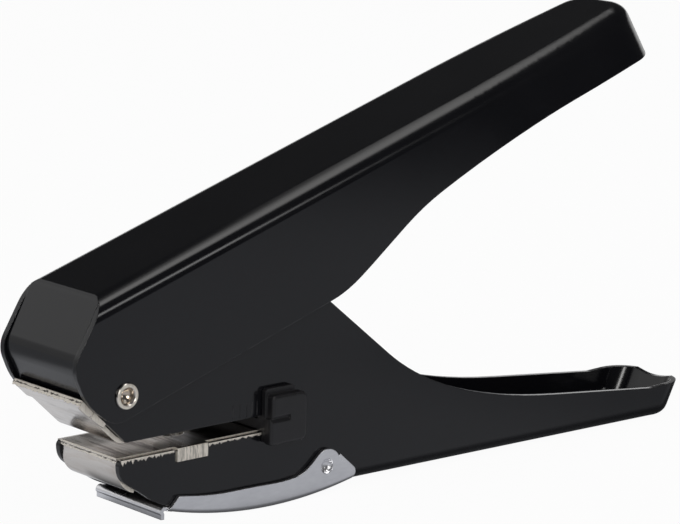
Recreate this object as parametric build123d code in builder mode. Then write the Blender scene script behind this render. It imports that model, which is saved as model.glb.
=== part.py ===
from build123d import *
import os
from math import acos, atan2, cos, degrees, hypot, radians, sin, sqrt, tan

# Hand-held single hole punch. Sizes are in millimetres and angles in degrees.
# Three frames of drawing are used. The throat frame lies along the paper throat: its first number runs
# from the pivot to the rear and its second runs up. The grip frame is the same, turned up about the
# pivot to lie along the upper handle. The base frame is turned down a little about the pivot, to lie
# along the floor of the lower handle.

# Pressed steel
sheet = 1.2
frame_width = 21.3
side_gap = 0.95
running_gap = 0.1
fit_gap = 0.05
cutter_reach = 60.0

# Paper throat and lower jaw, throat frame
throat_roof = -10.5
throat_floor = -14.2
throat_depth = 50.2
throat_corner = 0.9
jaw_tip_drop = 1.2
jaw_bulge = (4.3, -20.9)

# Upper arm of the lower handle, throat frame
arm_nose = 7.8
neck = (56.4, 11.9)
neck_angle = 38.3
arm_corner_run = 7.4
arm_corner_radius = 5.0

# Grip part of the lower handle, its floor in the base frame and the rest in the throat frame
base_fall = 0.69
frame_bottom = -28.77
floor_start = 53.0
neck_run = 17.6
neck_sweep = ((90.0, -11.1), (108.0, -16.5))
grip_start = (128.0, -19.6)
grip_fall = 6.0
ear_start = 160.5
ear_run = 5.0
ear_rise = 0.15
ear_radius = 8.0
tail_end = 173.8
tail_plan_radius = 7.4
tail_lean = 27.0
floor_fold = 3.4
rim_dip = 0.8
rim_dip_width = 11.0

# Upper handle, grip frame
handle_angle = 17.75
handle_top = 21.5
handle_skirt = -4.9
handle_end = 167.8
handle_fold = 4.0
handle_plan_radius = 7.5
taper_start = 107.0
taper_radius = 490.0
heel_lean = 17.0
heel_corner = 1.6
cheek = ((1.3, 21.5), (-10.5, 11.1), (-9.6, 2.3), (-4.3, -4.9))
cheek_radii = (5.5, 14.0, 5.0)
skirt_end = 56.5
skirt_sweep = ((68.3, -2.5), (78.4, 1.1), (93.3, 4.9))
skirt_rise = 0.14
grip_sweep = (113.0, 7.1)
grip_edge = 8.0
grip_edge_start = 137.0
heel_edge = 7.5

# Front flap of the upper handle, grip frame
flap_width = 22.5
flap_root = 5.0
flap_bend = (1.0, 21.5)
flap_knee = (-9.8, 11.0)
flap_foot = (-8.6, 2.9)
flap_radii = (2.6, 5.0)

# Pivot
rivet_tube = 4.2
rivet_bore = 3.3
rivet_head = 5.6
rivet_head_height = 0.7
rivet_head_bulge = 0.25
spacer_outer = 7.0
washer_outer = 9.0

# Nickel-plated plates
throat_plate_thickness = 1.0
throat_plate_proud = 0.35
throat_plate_margin = 0.6
flare_corner = 0.5
flare_angle = 43.0
flare_length = 15.3
flare_bend = 4.0
wing_width = 22.7
wing_length = 5.0
stripper_hole = 6.8
die_thickness = 3.0
die_proud = 0.35
die_front = 0.35
die_end = 48.0
die_lap = 1.35
die_lip = 1.0
die_tab = (15.3, 23.4)
die_tab_gap = 0.6
die_roll = 0.4
chip_relief = 7.0
shield_thickness = 1.0
shield_inset = 0.6
shield_knee = -16.3
shield_end = (4.9, -21.9)

# Punch and what drives it, throat frame
punch_reach = 21.5
punch_diameter = 6.0
punch_recess = 0.25
punch_head = 3.2
punch_head_chamfer = 0.6
punch_hollow = 1.2
press_angle = 12.0
pin_height = 7.0
pin_diameter = 3.0
pin_length = 14.5
saddle_top = -2.4
saddle_seat = -6.0
saddle_span = (8.5, 34.5)
saddle_front_ear = (15.0, 5.6)
saddle_rear_ear = (29.5, 11.6)
saddle_radius = 2.0
saddle_rivets = ((12.0, 3.0), (31.9, 8.9))
small_rivet = 3.0
small_rivet_head = 4.6
small_head_height = 0.5
arm_rivet_place = (43.5, 12.8)
arm_spacer_outer = 5.4
spring_wire = 0.75
spring_diameter = 7.9
spring_turns = 4.5
spring_well = 9.4
clip_height = 3.2
clip_thickness = 0.6
clip_outer = 8.6
clip_depth = 0.5
clip_opening = 4.6
seat_outer = 9.0
seat_thickness = 0.7
bracket_width = 11.6
bracket_sheet = 1.5
bracket_span = (16.4, 28.4)
bracket_foot = 2.8
slot_play = 0.3
pin_clip_outer = 5.6
pin_clip_opening = 1.9

# Chip tray, throat frame
tray_sheet = 0.8
tray_gap = 0.15
tray_fold = 1.2
belly_radius = 110.0
belly_centre = 42.0
belly_bottom = -30.85
belly_gap = 0.3
tray_rear = 50.5
tray_front = 12.4
tray_corner = (15.2, -23.95)
tray_corner_radius = 1.0
tray_edge = ((18.4, -24.42), (26.0, -25.3), (36.0, -25.5), (46.8, -25.45))
tray_edge_slopes = (-0.17, 0.12)
tray_pivot = (56.1, -24.4)
lug_radius = 3.8
lug_start = 132.0
lug_stop = 30.0
lug_step = (60.0, -22.35)
tray_heel = (64.9, -26.6)
tray_heel_radius = 1.6
tray_end = 63.6
dimple_radius = 1.55
dimple_depth = 1.0
dimple_edge = 0.4
dimple_wall = 0.55
dish_radius = 1.78
lip_face = 10.7
lip_width = 21.8
lip_drop = 1.68
lip_bend = 1.2
lip_crease = 0.35
lip_step = 0.3
lip_skirt = 1.0

# Paper guide, throat frame
guide_front = 37.8
flange_length = 8.1
flange_height = (-16.4, -4.5)
flange_thickness = 1.2
flange_corner = 0.8
block_upper_front = 38.2
block_lower_front = 37.7
block_rear = 47.9
block_height = (-16.5, -5.8)
block_waist = -10.8
block_thickness = 2.05
block_corner = 0.6
block_rear_corner = 1.6
block_edge = 0.7
waist_length = 5.5
waist_depth = 0.5
waist_width = 1.6
guide_play = 0.15
web_play = 0.2
web_thickness = 2.3

# Sizes that follow from the ones above
inner_width = frame_width - 2 * sheet
insert_width = inner_width - 2 * fit_gap
handle_inner = frame_width + 2 * side_gap
handle_width = handle_inner + 2 * sheet
throat_plate_under = throat_roof - throat_plate_proud
throat_plate_top = throat_plate_under + throat_plate_thickness
throat_plate_end = punch_reach + stripper_hole / 2 + throat_plate_margin
die_top = throat_floor + die_proud
die_under = die_top - die_thickness
punch_tip = throat_plate_under + punch_recess
punch_travel = radians(press_angle) * punch_reach
handle_ceiling = handle_top - sheet
heel_slope = tan(radians(heel_lean))
roof_end = handle_end - (handle_top - heel_edge) * heel_slope
seat_under = clip_height - seat_thickness

# The end wall of the tail leans back, and a fold rounds its foot. The tail is set out in the base frame.
fall = radians(base_fall)
ear_height = grip_start[1] - tan(radians(grip_fall)) * (ear_start - grip_start[0])
tail_rim = ear_height + ear_rise
tail_slope = tan(radians(tail_lean))
rim_reach = tail_end * cos(fall) - tail_rim * sin(fall)
rim_height = tail_end * sin(fall) + tail_rim * cos(fall)
tail_foot = rim_reach - (rim_height - frame_bottom) * tail_slope
core_foot = tail_foot + sheet * tail_slope - sheet / cos(radians(tail_lean))
floor_front = frame_bottom / cos(fall) - floor_start * tan(fall)

# The part rests on the round belly of the tray and the round foot of the tail. Their common tangent
# is the ground, so the throat leans back by this angle.
heel_reach = tail_foot - floor_fold * tan(radians(45 - tail_lean / 2))
heel_height = frame_bottom + floor_fold
heel_centre = (
    heel_reach * cos(fall) + heel_height * sin(fall),
    heel_height * cos(fall) - heel_reach * sin(fall),
)
belly_hub = belly_bottom + belly_radius
ground_run = heel_centre[0] - belly_centre
ground_rise = belly_hub - heel_centre[1]
ground_reach = hypot(ground_run, ground_rise)
lean = atan2(ground_run, ground_rise) - acos((belly_radius - floor_fold) / ground_reach)
rest_tilt = degrees(lean)
pivot_height = belly_radius + belly_centre * sin(lean) - belly_hub * cos(lean)


def side_view(angle, origin):
    # A drawing plane through the pivot, seen from one side, leaning up to the rear by an angle
    turn = radians(angle)
    return Plane(origin=origin, x_dir=(cos(turn), 0, sin(turn)), z_dir=(0, -1, 0))


# The origin is midway between the foremost point of the cheeks and the top of the tail
with BuildLine(side_view(handle_angle - rest_tilt, (0, 0, 0))) as cheek_front:
    FilletPolyline(*cheek, radius=cheek_radii[:2])
front_reach = cheek_front.line.bounding_box().min.X
rear_reach = tail_end * cos(lean) + tail_rim * sin(lean)
pivot_place = (-(front_reach + rear_reach) / 2, 0, pivot_height)
throat_view = side_view(-rest_tilt, pivot_place)
grip_view = side_view(handle_angle - rest_tilt, pivot_place)
base_view = side_view(-base_fall - rest_tilt, pivot_place)


def top_view(view, reach, height):
    # A plane square to a side view at one of its points, looking down on the part
    return Plane(origin=view.from_local_coords((reach, height, 0)), x_dir=view.x_dir, z_dir=view.y_dir)


def side_at(view, across):
    # A side view moved out sideways
    return Plane(origin=view.from_local_coords((0, 0, across)), x_dir=view.x_dir, z_dir=(0, -1, 0))


def end_view(view, reach, height):
    # A plane square to a side view at one of its points, looking from the rear
    return Plane(origin=view.from_local_coords((reach, height, 0)), x_dir=(0, 1, 0), z_dir=view.x_dir)


def belly_at(reach, lift):
    # Height of the curve that follows the tray's belly, a lift above it
    return belly_hub - sqrt((belly_radius - lift) ** 2 - (reach - belly_centre) ** 2)


def seen_in(view, edge):
    # Where the middle of an edge lies in a side view
    return view.to_local_coords(edge.position_at(0.5))


os.makedirs("parts", exist_ok=True)

# Lower handle. Two side walls carry the throat and the arm. Behind them the neck and the grip have a
# folded floor and a closed, rounded tail.
flare_turn = radians(flare_angle)
flare_normal = (sin(flare_turn), cos(flare_turn))
edge_lift = throat_plate_thickness + running_gap
edge_point = (flare_corner + flare_normal[0] * edge_lift, throat_plate_under + flare_normal[1] * edge_lift)
edge_offset = edge_point[0] * flare_normal[0] + edge_point[1] * flare_normal[1]
edge_reach = sqrt(arm_nose**2 - edge_offset**2)
arm_front = (
    edge_offset * flare_normal[0] - cos(flare_turn) * edge_reach,
    edge_offset * flare_normal[1] + sin(flare_turn) * edge_reach,
)
roof_front = (edge_point[0] + (edge_point[1] - throat_roof) / tan(flare_turn), throat_roof)
neck_slope = tan(radians(neck_angle))
arm_corner = (neck[0] - arm_corner_run, neck[1] + arm_corner_run * neck_slope)
neck_top = (floor_start, neck[1] + (neck[0] - floor_start) * neck_slope)
neck_end = (neck[0] + neck_run, neck[1] - neck_run * neck_slope)
nose_top_angle = atan2(arm_corner[1], arm_corner[0]) + acos(arm_nose / hypot(*arm_corner))
nose_front_angle = atan2(arm_front[1], arm_front[0])
if nose_front_angle < 0:
    nose_front_angle += radians(360)
nose_mid_angle = (nose_top_angle + nose_front_angle) / 2
nose_top = (arm_nose * cos(nose_top_angle), arm_nose * sin(nose_top_angle))
nose_mid = (arm_nose * cos(nose_mid_angle), arm_nose * sin(nose_mid_angle))
wall_lift = tray_sheet + belly_gap
wall_arc_start = (tray_front, belly_at(tray_front, wall_lift))
wall_arc_run = sqrt((belly_radius - wall_lift) ** 2 - (belly_hub - floor_front) ** 2)
wall_arc_end = (belly_centre - wall_arc_run, floor_front)
wall_arc_mid = (wall_arc_start[0] + wall_arc_end[0]) / 2
arc_fall = (belly_centre - wall_arc_start[0]) / (belly_hub - wall_arc_start[1])
jaw_top = throat_floor - jaw_tip_drop
jaw_diagonal = jaw_tip_drop * cos(radians(45))

tail_way = base_view.x_dir * tail_slope + base_view.y_dir
with BuildPart() as frame_core:
    with BuildSketch(top_view(base_view, 0, frame_bottom + sheet)):
        with BuildLine():
            FilletPolyline(
                (-cutter_reach, inner_width / 2),
                (core_foot, inner_width / 2),
                (core_foot, -inner_width / 2),
                (-cutter_reach, -inner_width / 2),
                radius=tail_plan_radius - sheet,
            )
            Line((-cutter_reach, -inner_width / 2), (-cutter_reach, inner_width / 2))
        make_face()
    extrude(amount=cutter_reach, dir=tail_way)
    core_folds = [
        edge
        for edge in frame_core.edges()
        if abs(seen_in(base_view, edge).Y - frame_bottom - sheet) < fit_gap
        and seen_in(base_view, edge).X > fit_gap - cutter_reach
    ]
    fillet(core_folds, radius=floor_fold - sheet)
    with BuildSketch(throat_view):
        with Locations((floor_start, 0)):
            Rectangle(2 * cutter_reach, 2 * cutter_reach, align=(Align.MAX, Align.CENTER))
    extrude(amount=inner_width / 2, both=True)

with BuildPart() as lower_handle:
    with BuildSketch(top_view(base_view, 0, frame_bottom)):
        with BuildLine():
            FilletPolyline(
                (-cutter_reach, frame_width / 2),
                (tail_foot, frame_width / 2),
                (tail_foot, -frame_width / 2),
                (-cutter_reach, -frame_width / 2),
                radius=tail_plan_radius,
            )
            Line((-cutter_reach, -frame_width / 2), (-cutter_reach, frame_width / 2))
        make_face()
    extrude(amount=cutter_reach, dir=tail_way)
    floor_folds = [
        edge
        for edge in lower_handle.edges()
        if abs(seen_in(base_view, edge).Y - frame_bottom) < fit_gap
        and seen_in(base_view, edge).X > fit_gap - cutter_reach
    ]
    fillet(floor_folds, radius=floor_fold)
    # Line of the neck and the rim
    with BuildSketch(throat_view):
        with BuildLine():
            Line(neck_top, neck_end)
            Spline(
                neck_end,
                *neck_sweep,
                grip_start,
                tangents=[(1, -neck_slope), (1, -tan(radians(grip_fall)))],
            )
            FilletPolyline(
                grip_start,
                (ear_start, ear_height),
                (ear_start + ear_run, tail_rim),
                (tail_end + cutter_reach, tail_rim),
                (tail_end + cutter_reach, frame_bottom - cutter_reach),
                (floor_start, frame_bottom - cutter_reach),
                radius=[ear_radius, ear_radius, 0, 0],
            )
            Line((floor_start, frame_bottom - cutter_reach), neck_top)
        make_face()
    extrude(amount=frame_width, both=True, mode=Mode.INTERSECT)
    # Walls of the jaw and the arm
    with BuildSketch(throat_view):
        with BuildLine():
            Line(roof_front, arm_front)
            ThreePointArc(arm_front, nose_mid, nose_top)
            FilletPolyline(nose_top, arm_corner, neck_top, radius=arm_corner_radius)
            Polyline(neck_top, (floor_start, floor_front), wall_arc_end)
            ThreePointArc(wall_arc_end, (wall_arc_mid, belly_at(wall_arc_mid, wall_lift)), wall_arc_start)
            Spline(wall_arc_start, jaw_bulge, (0, jaw_top), tangents=[(-1, arc_fall), (0, 1)])
            ThreePointArc(
                (0, jaw_top),
                (jaw_tip_drop - jaw_diagonal, jaw_top + jaw_diagonal),
                (jaw_tip_drop, throat_floor),
            )
            Line((jaw_tip_drop, throat_floor), roof_front)
        make_face()
    extrude(amount=frame_width / 2, both=True)
    add(frame_core.part, mode=Mode.SUBTRACT)
    # Paper throat
    with BuildSketch(throat_view):
        with BuildLine():
            FilletPolyline(
                (-arm_nose, throat_roof),
                (throat_depth, throat_roof),
                (throat_depth, throat_floor),
                (-arm_nose, throat_floor),
                radius=throat_corner,
            )
            Line((-arm_nose, throat_floor), (-arm_nose, throat_roof))
        make_face()
    extrude(amount=frame_width, both=True, mode=Mode.SUBTRACT)
    # Notches that the tabs of the die plate lie in
    with BuildSketch(throat_view):
        with BuildLine():
            Polyline(
                (die_tab[0] - die_tab_gap, throat_roof),
                (die_tab[0] - die_tab_gap, die_under - fit_gap),
                (die_tab[1] + fit_gap, die_under - fit_gap),
                (die_tab[1] + fit_gap, throat_roof),
                close=True,
            )
        make_face()
    extrude(amount=frame_width, both=True, mode=Mode.SUBTRACT)
    # Holes for the pivot, the rivets and the dimples of the tray
    with BuildSketch(throat_view):
        Circle(rivet_tube / 2 + fit_gap)
        with Locations(*saddle_rivets, arm_rivet_place):
            Circle(small_rivet / 2 + fit_gap)
        with Locations(tray_pivot):
            Circle(dimple_radius + fit_gap)
    extrude(amount=frame_width, both=True, mode=Mode.SUBTRACT)
    # The rim of the tail dips in the middle
    dip_radius = (rim_dip_width**2 / 4 + rim_dip**2) / (2 * rim_dip)
    with BuildSketch(end_view(throat_view, tail_end, tail_rim - rim_dip + dip_radius)):
        Circle(dip_radius)
    extrude(amount=tail_plan_radius, both=True, mode=Mode.SUBTRACT)


def handle_outline(start, reach, inset):
    # Plan of the upper handle, or of a face that lies an inset inside it. Its rear third narrows.
    half = handle_width / 2 - inset
    sweep = taper_radius - inset
    narrow = half - sweep + sqrt(sweep**2 - (reach - start) ** 2)
    with BuildLine() as outline:
        TangentArc((start, half), (reach, narrow), tangent=(1, 0))
        Line((reach, narrow), (reach, -narrow))
        TangentArc((start, -half), (reach, -narrow), tangent=(1, 0))
        Polyline((start, -half), (-cutter_reach, -half), (-cutter_reach, half), (start, half))
    return outline.edges()


# Upper handle: an inverted channel with a closed, rounded rear end and a flap across the front. The
# end wall leans back, so the heel reaches further than the roof.
heel_way = grip_view.x_dir * heel_slope - grip_view.y_dir
core_start = taper_start + sheet * heel_slope
core_end = roof_end + sheet * heel_slope - sheet / cos(radians(heel_lean))
with BuildPart() as handle_core:
    with BuildSketch(top_view(grip_view, 0, handle_ceiling)) as core_plan:
        make_face(handle_outline(core_start, core_end, sheet))
        fillet(core_plan.vertices().group_by(Axis.X)[-1], radius=handle_plan_radius - sheet)
    extrude(amount=cutter_reach, dir=heel_way)
    core_top = [
        edge
        for edge in handle_core.edges()
        if abs(seen_in(grip_view, edge).Y - handle_ceiling) < fit_gap
        and seen_in(grip_view, edge).X > -cutter_reach + fit_gap
    ]
    fillet(core_top, radius=handle_fold - sheet)

with BuildPart() as flap:
    with BuildSketch(grip_view):
        with BuildLine():
            FilletPolyline((flap_root, handle_top), flap_bend, flap_knee, flap_foot, radius=[*flap_radii])
            offset(amount=sheet, side=Side.LEFT)
        make_face()
    extrude(amount=flap_width / 2, both=True)
    with BuildSketch(end_view(grip_view, 0, handle_top)):
        with BuildLine():
            FilletPolyline(
                (-handle_width / 2, -cutter_reach),
                (-handle_width / 2, 0),
                (handle_width / 2, 0),
                (handle_width / 2, -cutter_reach),
                radius=handle_fold,
            )
            Line((handle_width / 2, -cutter_reach), (-handle_width / 2, -cutter_reach))
        make_face()
    extrude(amount=cutter_reach, both=True, mode=Mode.INTERSECT)

with BuildPart() as upper_handle:
    with BuildSketch(top_view(grip_view, 0, handle_top)) as handle_plan:
        make_face(handle_outline(taper_start, roof_end, 0))
        fillet(handle_plan.vertices().group_by(Axis.X)[-1], radius=handle_plan_radius)
    extrude(amount=cutter_reach, dir=heel_way)
    handle_top_edges = [
        edge
        for edge in upper_handle.edges()
        if abs(seen_in(grip_view, edge).Y - handle_top) < fit_gap
        and seen_in(grip_view, edge).X > -cutter_reach + fit_gap
    ]
    fillet(handle_top_edges, radius=handle_fold)
    with BuildSketch(grip_view):
        with BuildLine():
            FilletPolyline(
                (handle_end + handle_fold, handle_top + handle_fold),
                (cheek[0][0] + handle_fold, handle_top + handle_fold),
                cheek[0],
                *cheek[1:],
                (skirt_end, handle_skirt),
                radius=[0, 0, *cheek_radii],
            )
            Spline((skirt_end, handle_skirt), *skirt_sweep, tangents=[(1, 0), (1, skirt_rise)])
            Spline(
                skirt_sweep[-1],
                grip_sweep,
                (grip_edge_start, grip_edge),
                tangents=[(1, skirt_rise), (handle_end - grip_edge_start, heel_edge - grip_edge)],
            )
            FilletPolyline(
                (grip_edge_start, grip_edge),
                (handle_end, heel_edge),
                (handle_end, heel_edge + 2 * heel_corner),
                (handle_end + handle_fold, heel_edge + 2 * heel_corner),
                (handle_end + handle_fold, handle_top + handle_fold),
                radius=[heel_corner, 0, 0],
            )
        make_face()
    extrude(amount=handle_width, both=True, mode=Mode.INTERSECT)
    add(handle_core.part, mode=Mode.SUBTRACT)
    add(flap.part)
    with BuildSketch(grip_view):
        Circle(rivet_tube / 2 + fit_gap)
    extrude(amount=handle_width, both=True, mode=Mode.SUBTRACT)

# Throat plate: the flat stripper with the punch hole, bent up at the front as a paper lead-in. Its
# flat part lies between the walls, and its wings lie in front of their slanted edges.
flare_end = (
    flare_corner - flare_length * cos(flare_turn),
    throat_plate_under + flare_length * sin(flare_turn),
)
wing_root = (flare_end[0] + wing_length * cos(flare_turn), flare_end[1] - wing_length * sin(flare_turn))
with BuildPart() as throat_plate:
    with BuildSketch(throat_view):
        with BuildLine():
            FilletPolyline(
                flare_end,
                (flare_corner, throat_plate_under),
                (throat_plate_end, throat_plate_under),
                radius=flare_bend,
            )
            offset(amount=throat_plate_thickness, side=Side.LEFT)
        make_face()
    extrude(amount=insert_width / 2, both=True)
    with BuildSketch(throat_view):
        with BuildLine():
            Line(flare_end, wing_root)
            offset(amount=throat_plate_thickness, side=Side.LEFT)
        make_face()
    extrude(amount=wing_width / 2, both=True)
    with BuildSketch(top_view(throat_view, punch_reach, throat_plate_under)):
        Circle(stripper_hole / 2)
    extrude(amount=throat_plate_thickness, both=True, mode=Mode.SUBTRACT)

# Die plate: a thick strip along the floor of the throat, with a tab each side and the die hole
with BuildPart() as die_plate:
    with BuildSketch(throat_view):
        with BuildLine():
            Polyline(
                (die_front, die_top),
                (die_end, die_top),
                (die_end, die_under),
                (die_lap + die_front, die_under),
                (die_lap + die_front, die_top - die_lip),
                (die_front, die_top - die_lip),
                close=True,
            )
        make_face()
    extrude(amount=insert_width / 2, both=True)
    with BuildSketch(throat_view):
        with BuildLine():
            Polyline(
                (die_tab[0], die_top),
                (die_tab[1], die_top),
                (die_tab[1], die_under),
                (die_tab[0], die_under),
                close=True,
            )
        make_face()
    extrude(amount=frame_width / 2 + fit_gap, both=True)
    tab_edges = [
        edge
        for edge in die_plate.edges()
        if abs(seen_in(throat_view, edge).Z) > frame_width / 2
        and seen_in(throat_view, edge).Y > die_top - fit_gap
    ]
    fillet(tab_edges, radius=die_roll)
    with BuildSketch(top_view(throat_view, punch_reach, die_top)):
        Circle(punch_diameter / 2 + fit_gap)
    extrude(amount=die_thickness, both=True, mode=Mode.SUBTRACT)
    with BuildSketch(top_view(throat_view, punch_reach, die_under)):
        Circle(chip_relief / 2)
    extrude(amount=die_thickness / 2, both=True, mode=Mode.SUBTRACT)

# Jaw shield: sheet under the lapped front edge of the die plate, round the front of the jaw
shield_start = (shield_inset, die_top - die_lip - fit_gap)
with BuildPart() as jaw_shield:
    with BuildSketch(throat_view):
        with BuildLine():
            Line(shield_start, (shield_inset, shield_knee))
            TangentArc((shield_inset, shield_knee), shield_end, tangent=(0, -1))
            offset(amount=shield_thickness, side=Side.LEFT)
        make_face()
    extrude(amount=insert_width / 2, both=True)

# Pivot: a hollow rivet with rolled heads, a spacer between the walls and a washer outside each
tube_half = handle_width / 2 + fit_gap
head_lip = (rivet_head - rivet_tube) / 2
with BuildPart() as pivot_rivet:
    with BuildSketch(end_view(throat_view, 0, 0)):
        with BuildLine():
            Polyline(
                (0, rivet_bore / 2),
                (0, rivet_tube / 2),
                (tube_half, rivet_tube / 2),
                (tube_half, rivet_head / 2),
            )
            SagittaArc(
                (tube_half, rivet_head / 2),
                (tube_half + rivet_head_height, rivet_head / 2 - head_lip),
                rivet_head_bulge,
            )
            SagittaArc(
                (tube_half + rivet_head_height, rivet_head / 2 - head_lip),
                (tube_half - rivet_head_height, rivet_bore / 2),
                rivet_head_bulge,
            )
            Line((tube_half - rivet_head_height, rivet_bore / 2), (0, rivet_bore / 2))
        make_face()
    revolve(axis=Axis(pivot_place, (0, 1, 0)))
    mirror(about=Plane.XZ)

with BuildPart() as pivot_spacer:
    with BuildSketch(throat_view):
        Circle(spacer_outer / 2)
        Circle(rivet_tube / 2 + fit_gap, mode=Mode.SUBTRACT)
    extrude(amount=insert_width / 2, both=True)

washer_thickness = side_gap - 2 * running_gap
with BuildPart() as pivot_washers:
    with BuildSketch(side_at(throat_view, frame_width / 2 + running_gap)):
        Circle(washer_outer / 2)
        Circle(rivet_tube / 2 + fit_gap, mode=Mode.SUBTRACT)
    extrude(amount=washer_thickness)
    mirror(about=Plane.XZ)

# Punch: hollowed at the cutting end, with a groove for its clip and a cross hole for the drive pin
hollow_radius = (punch_diameter**2 / 4 + punch_hollow**2) / (2 * punch_hollow)
with BuildPart() as punch:
    with BuildSketch(top_view(throat_view, punch_reach, punch_tip)):
        Circle(punch_diameter / 2)
    extrude(amount=pin_height + punch_head - punch_tip)
    chamfer(punch.edges().filter_by(GeomType.CIRCLE).sort_by(Axis.Z)[-1], length=punch_head_chamfer)
    with BuildSketch(throat_view):
        with Locations((punch_reach, punch_tip + punch_hollow - hollow_radius)):
            Circle(hollow_radius)
        with Locations((punch_reach, pin_height)):
            Circle(pin_diameter / 2 + fit_gap)
    extrude(amount=punch_diameter, both=True, mode=Mode.SUBTRACT)
    with BuildSketch(top_view(throat_view, punch_reach, clip_height - fit_gap)):
        Circle(punch_diameter)
        Circle(punch_diameter / 2 - clip_depth, mode=Mode.SUBTRACT)
    extrude(amount=clip_thickness + 2 * fit_gap, mode=Mode.SUBTRACT)

# Clip in the punch's groove, open to the rear
with BuildPart() as punch_clip:
    with BuildSketch(top_view(throat_view, punch_reach, clip_height)):
        Circle(clip_outer / 2)
        Circle(punch_diameter / 2 - clip_depth + fit_gap, mode=Mode.SUBTRACT)
        with Locations((clip_outer / 2, 0)):
            Rectangle(clip_outer, clip_opening, mode=Mode.SUBTRACT)
    extrude(amount=clip_thickness)

with BuildPart() as spring_washer:
    with BuildSketch(top_view(throat_view, punch_reach, seat_under)):
        Circle(seat_outer / 2)
        Circle(punch_diameter / 2 + fit_gap, mode=Mode.SUBTRACT)
    extrude(amount=seat_thickness)

# Return spring, its ends ground flat
spring_length = seat_under - saddle_seat
spring_base = throat_view.from_local_coords((punch_reach, saddle_seat, 0))
with BuildPart() as return_spring:
    with BuildLine() as coil:
        Helix(
            pitch=spring_length / spring_turns,
            height=spring_length,
            radius=spring_diameter / 2,
            center=spring_base,
            direction=throat_view.y_dir,
        )
    with BuildSketch(Plane(origin=coil.line @ 0, z_dir=coil.line % 0)):
        Circle(spring_wire / 2)
    sweep(is_frenet=True)
    with BuildSketch(top_view(throat_view, punch_reach, saddle_seat)):
        Circle(spring_diameter)
    extrude(amount=spring_length, mode=Mode.INTERSECT)

# Saddle that guides the punch, riveted through both walls
with BuildPart() as punch_guide:
    with BuildSketch(throat_view):
        with BuildLine():
            FilletPolyline(
                (saddle_span[0], throat_plate_top),
                (saddle_span[0], saddle_front_ear[1]),
                (saddle_front_ear[0], saddle_front_ear[1]),
                (saddle_front_ear[0], saddle_top),
                (saddle_rear_ear[0], saddle_top),
                (saddle_rear_ear[0], saddle_rear_ear[1]),
                (saddle_span[1], saddle_rear_ear[1]),
                (saddle_span[1], throat_plate_top),
                radius=[saddle_radius, saddle_radius, 0, 0, saddle_radius, saddle_radius],
            )
            Line((saddle_span[1], throat_plate_top), (saddle_span[0], throat_plate_top))
        make_face()
    extrude(amount=insert_width / 2, both=True)
    with BuildSketch(top_view(throat_view, punch_reach, saddle_top)):
        Circle(punch_diameter / 2 + fit_gap)
    extrude(amount=cutter_reach, both=True, mode=Mode.SUBTRACT)
    with BuildSketch(top_view(throat_view, punch_reach, saddle_seat)):
        Circle(spring_well / 2)
    extrude(amount=cutter_reach, mode=Mode.SUBTRACT)
    with BuildSketch(throat_view):
        with Locations(*saddle_rivets):
            Circle(small_rivet / 2 + fit_gap)
    extrude(amount=frame_width, both=True, mode=Mode.SUBTRACT)

# Cross rivets, with a low head each side
head_sides = (
    side_at(throat_view, frame_width / 2),
    side_at(throat_view, -frame_width / 2 - small_head_height),
)
with BuildPart() as guide_rivets:
    with BuildSketch(throat_view):
        with Locations(*saddle_rivets):
            Circle(small_rivet / 2)
    extrude(amount=frame_width / 2, both=True)
    with BuildSketch(*head_sides):
        with Locations(*saddle_rivets):
            Circle(small_rivet_head / 2)
    extrude(amount=small_head_height)

with BuildPart() as arm_rivet:
    with BuildSketch(throat_view):
        with Locations(arm_rivet_place):
            Circle(small_rivet / 2)
    extrude(amount=frame_width / 2, both=True)
    with BuildSketch(*head_sides):
        with Locations(arm_rivet_place):
            Circle(small_rivet_head / 2)
    extrude(amount=small_head_height)

with BuildPart() as arm_spacer:
    with BuildSketch(throat_view):
        with Locations(arm_rivet_place):
            Circle(arm_spacer_outer / 2)
            Circle(small_rivet / 2 + fit_gap, mode=Mode.SUBTRACT)
    extrude(amount=insert_width / 2, both=True)

# Drive bracket, welded under the top of the upper handle. The slots let its arc follow the straight
# path of the punch, so they run from where the pin lies at rest to where it lies when pressed.
press = radians(press_angle)
pin_pressed = (
    punch_reach * cos(press) - (pin_height - punch_travel) * sin(press),
    punch_reach * sin(press) + (pin_height - punch_travel) * cos(press),
)
slot_length = hypot(pin_pressed[0] - punch_reach, pin_pressed[1] - pin_height) + slot_play
slot_angle = degrees(atan2(pin_height - pin_pressed[1], punch_reach - pin_pressed[0]))
slot_middle = ((punch_reach + pin_pressed[0]) / 2, (pin_height + pin_pressed[1]) / 2)
grip_turn = radians(handle_angle)
foot_middle = (
    slot_middle[0] * cos(grip_turn) + slot_middle[1] * sin(grip_turn),
    slot_middle[1] * cos(grip_turn) - slot_middle[0] * sin(grip_turn),
)
with BuildPart() as drive_bracket:
    with BuildSketch(grip_view):
        with Locations(foot_middle):
            Circle(bracket_foot)
        with Locations((sum(bracket_span) / 2, handle_ceiling - bracket_sheet)):
            Rectangle(
                bracket_span[1] - bracket_span[0],
                bracket_sheet,
                align=(Align.CENTER, Align.MIN),
            )
        make_hull()
    extrude(amount=bracket_width / 2, both=True)
    with BuildSketch(grip_view):
        with Locations((sum(bracket_span) / 2, handle_ceiling - bracket_sheet)):
            Rectangle(cutter_reach, cutter_reach, align=(Align.CENTER, Align.MAX))
    extrude(amount=bracket_width / 2 - bracket_sheet, both=True, mode=Mode.SUBTRACT)
    with BuildSketch(throat_view):
        with Locations(slot_middle):
            SlotCenterToCenter(slot_length, pin_diameter + 2 * running_gap, rotation=slot_angle)
    extrude(amount=bracket_width, both=True, mode=Mode.SUBTRACT)

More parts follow.
